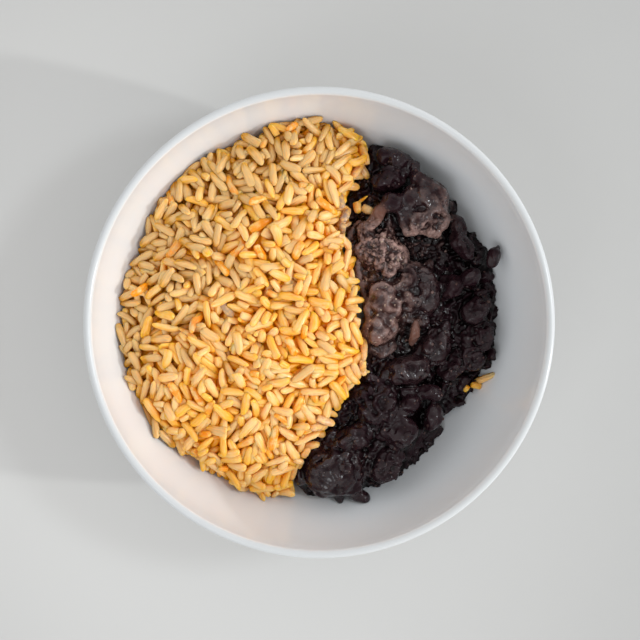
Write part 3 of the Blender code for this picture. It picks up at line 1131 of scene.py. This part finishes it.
def skin_template(seed):
    """A torn, cupped scrap of skin, about 2 across and thin."""
    bm = bmesh.new()
    bmesh.ops.create_circle(bm, cap_ends=True, radius=1.0, segments=9)
    bmesh.ops.inset_individual(bm, faces=bm.faces[:], thickness=0.45, use_even_offset=False)
    bmesh.ops.solidify(bm, geom=bm.faces[:], thickness=0.10)
    for vert in bm.verts:
        x, y, z = vert.co
        torn = 1 + 0.32 * noise.noise(Vector((x * 1.3, y * 1.3, seed)))
        vert.co = Vector((x * torn * 1.2, y * torn * 0.8, z + 0.38 * y * y - 0.12 * x * x))
    bmesh.ops.recalc_face_normals(bm, faces=bm.faces)
    return template_from(bm)


def scatter_bits(mash, look):
    """Crumbs where the mash is crumbly and scraps of skin where it is dark, lying on its upper faces."""
    bm = bmesh.new()
    bm.from_mesh(mash)
    tree = BVHTree.FromBMesh(bm)
    bm.free()
    low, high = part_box("beans")
    crumbs = [crumb_template(seed * 2.3) for seed in range(6)]
    skins = [skin_template(seed * 1.9) for seed in range(5)]
    kinds = {"mash_crumbs": (crumbs, CRUMBS, CRUMB_SPAN), "bean_skins": (skins, SKINS, SKIN_SPAN)}
    for name, (templates, most, span) in kinds.items():
        copies = []
        facts = {fact: [] for fact in FIELDS + ("hollow",)}
        while len(copies) < most:
            x = RANDOM.uniform(low[0], high[0])
            y = RANDOM.uniform(low[1], high[1])
            place, normal, _, _ = tree.ray_cast(Vector((x, y, RAY_START)), Vector((0, 0, -1)))
            if place is None or normal.z < LEAST_UPRIGHT or place.z < (CRUST_FLOOR + 2) * MM:
                continue
            field = lump_fields(np.array([place]) / MM)[0]
            if name == "mash_crumbs" and RANDOM.random() > 0.12 + field[1] + 0.3 * field[2]:
                continue
            if name == "bean_skins" and RANDOM.random() < field[0] + field[1]:
                continue
            size = RANDOM.uniform(*span)
            sizes = (size, size * RANDOM.uniform(0.6, 0.9), size * RANDOM.uniform(0.5, 0.8))
            stand = normal.lerp(Vector((0, 0, 1)), 0.2).normalized()
            spin = Matrix.Rotation(RANDOM.uniform(0, 6.28), 3, "Z")
            tilt = Matrix.Rotation(RANDOM.normal(0, 0.3), 3, "X")
            turn = stand.to_track_quat("Z", "Y").to_matrix() @ spin @ tilt
            points, faces = templates[int(RANDOM.integers(len(templates)))]
            own = (points * np.array(sizes) / 2) @ np.array(turn).T + np.array(place) / MM
            own[:, 2] += 0.05 * size
            if np.abs(own - inside_wall(own)).max() > MOST_PUSH:
                continue
            copies.append((own, faces))
            pale = float(name == "mash_crumbs") * RANDOM.uniform(0.3, 1.0)
            # Bits are given a hollow of -0.3, so they take the painted light of raised parts.
            for fact, value in zip(facts, (field[0], max(field[1], 0.6 * pale), *field[2:], -0.3)):
                facts[fact].append(np.full(len(own), value))
        show(name, joined_copies(name, copies, facts), look)


# --------------------------------------
# Floor, light and camera
# --------------------------------------
# The room's brightness at its sides and overhead, and how much brighter it is towards +X.
ROOM_SIDES = 1.58
ROOM_OVERHEAD = 0.67
ROOM_LEAN = 0.25
ROOM_WHITE = (0.98, 0.98, 0.98, 1.0)
# Each lamp: name, kind, place in metres, strength, colour, and the settings of its kind.
LAMPS = (
    ("key", "SUN", (0.884, -0.164, 0.430), 1.02, (0.97, 0.99, 0.98), {"angle": math.radians(2.5)}),
    ("fill", "AREA", (-0.35, -0.50, 0.85), 1.3, (0.92, 0.96, 1.0), {"shape": "SQUARE", "size": 0.38}),
    ("window", "AREA", (0.58, 0.10, 0.76), 1.8, (0.90, 0.96, 1.0), {"shape": "SQUARE", "size": 0.13}),
)
LAMP_TARGET = (0, 0, 0.03)
CAMERA_PLACE = (0.3, 0.74, 440.0)
CAMERA_LENS = 68.3
CAMERA_FILM = 36.0
CAMERA_NEAREST = 0.01
FLOOR_HALF = 3.0


def make_floor():
    """The table that the bowl stands on, which is no part of it."""
    bm = bmesh.new()
    bmesh.ops.create_grid(bm, x_segments=8, y_segments=8, size=FLOOR_HALF)
    mesh = mesh_from(bm, "floor")
    mesh.materials.append(floor_look())
    floor = new_object("floor", mesh)


def add_light(name, kind, location, energy, colour, settings):
    data = bpy.data.lights.new(name, kind)
    data.energy = energy
    data.color = colour
    for key, setting in settings.items():
        setattr(data, key, setting)
    light = new_object(name, data)
    light.location = location
    light.rotation_euler = (Vector(LAMP_TARGET) - light.location).to_track_quat("-Z", "Y").to_euler()


def make_light():
    """A soft room, dimmer overhead and towards -X, with the lamps."""
    world = bpy.data.worlds.new("studio")
    world.use_nodes = True
    nodes = Nodes(world.node_tree)
    way = nodes.node("ShaderNodeTexCoord", {}, {}, "Generated")
    east = nodes.node("ShaderNodeSeparateXYZ", {}, {0: way}, "X")
    up = nodes.node("ShaderNodeSeparateXYZ", {}, {0: way}, "Z")
    span = {0: up, 1: 0.0, 2: 1.0, 3: ROOM_SIDES, 4: ROOM_OVERHEAD}
    sky = world.node_tree.nodes["Background"].inputs
    sky["Color"].default_value = ROOM_WHITE
    nodes.feed(sky["Strength"], nodes.node("ShaderNodeMapRange", {}, span) * (east * ROOM_LEAN + 1.0))
    bpy.context.scene.world = world
    for lamp in LAMPS:
        add_light(*lamp)
    bpy.context.scene.view_settings.view_transform = "Standard"


def make_camera():
    """A camera straight above the bowl."""
    data = bpy.data.cameras.new("camera")
    data.lens = CAMERA_LENS
    data.sensor_width = CAMERA_FILM
    data.clip_start = CAMERA_NEAREST
    camera = new_object("camera", data)
    camera.location = tuple(distance * MM for distance in CAMERA_PLACE)
    bpy.context.scene.camera = camera


make_camera()
make_light()
make_floor()
make_bowl()
beans_height = height_map(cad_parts["beans"].data)
rice_height = height_map(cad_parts["rice"].data)
wall_height = wall_map()
rice_ground, rice_look, rice_templates = make_rice(rice_height, beans_height, wall_height)
mash_top = make_mash(beans_height, wall_height)
lay_single_grains(np.maximum(rice_ground, mash_top), rice_look, rice_templates)
